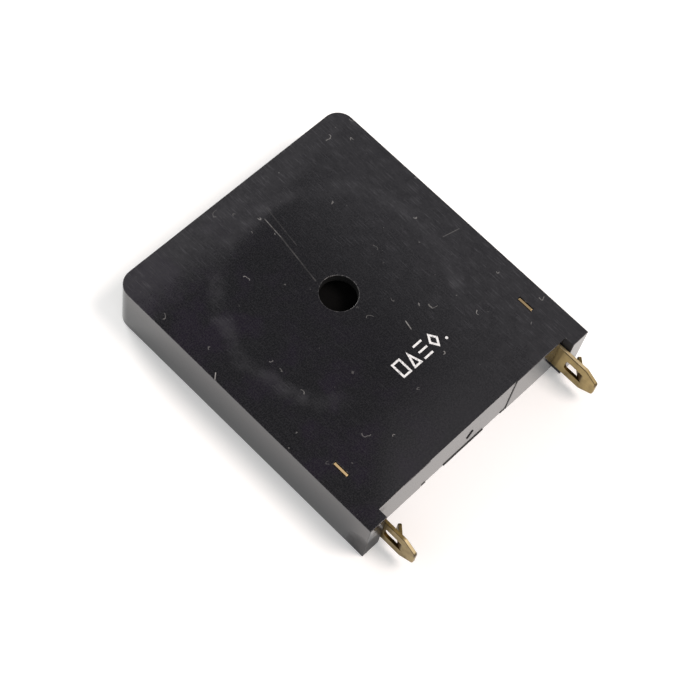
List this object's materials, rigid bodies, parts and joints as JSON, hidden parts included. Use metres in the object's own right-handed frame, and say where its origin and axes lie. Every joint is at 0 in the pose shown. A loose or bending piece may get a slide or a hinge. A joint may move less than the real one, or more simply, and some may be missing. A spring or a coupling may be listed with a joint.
{
  "type": "piezo buzzer",
  "caption": "Flat, near-square piezo buzzer in a black moulded case, with a sound hole in the middle of its face and pierced, tapered blade terminals at one end.",
  "frame": {"origin": "on the sound hole's axis, in the plane of the flat back", "axes": "+Z comes out of the sound hole, -Y points out along the blade terminals, +X runs to the right along the terminal end"},
  "size_m": [0.042, 0.053, 0.009],
  "materials": {
    "black_abs": "satin moulded ABS, glossy on the side walls",
    "black_cover": "matt moulded ABS",
    "terminal_brass": "stamped, lightly tarnished",
    "white_ink": "stamped ink",
    "silicone": "cured silicone",
    "plate_brass": "rolled sheet, lacquered black against damp",
    "piezo_ceramic": "fired, matt",
    "fired_silver": "fired silver, matt",
    "board_paper": "phenolic paper laminate",
    "copper": "etched foil",
    "solder": "bright solder",
    "black_epoxy": "moulded epoxy",
    "tinned_wire": "tinned",
    "resistor_lacquer": "lacquered",
    "diode_glass": "clear amber glass",
    "band_paint": "painted band",
    "red_enamel": "enamelled wire",
    "blue_enamel": "enamelled wire",
    "black_enamel": "enamelled wire"
  },
  "bodies": {
    "root": {"case_shell": "black_abs", "rear_cover": "black_cover", "terminal_left": "terminal_brass", "terminal_right": "terminal_brass", "face_marks": "white_ink", "adhesive_ring": "silicone", "diaphragm_plate": "plate_brass", "piezo_ceramic": "piezo_ceramic", "main_electrode": "fired_silver", "feedback_electrode": "fired_silver", "circuit_board": "board_paper", "copper_tracks": "copper", "transistor_body": "black_epoxy", "transistor_legs": "tinned_wire", "collector_resistor": "resistor_lacquer", "collector_resistor_leads": "tinned_wire", "base_resistor": "resistor_lacquer", "base_resistor_leads": "tinned_wire", "feedback_resistor": "resistor_lacquer", "feedback_resistor_leads": "tinned_wire", "diode_body": "diode_glass", "diode_band": "band_paint", "diode_leads": "tinned_wire", "main_lead": "red_enamel", "feedback_lead": "blue_enamel", "ground_lead": "black_enamel", "diaphragm_solder": "solder", "board_solder": "solder"}
  },
  "joints": []
}
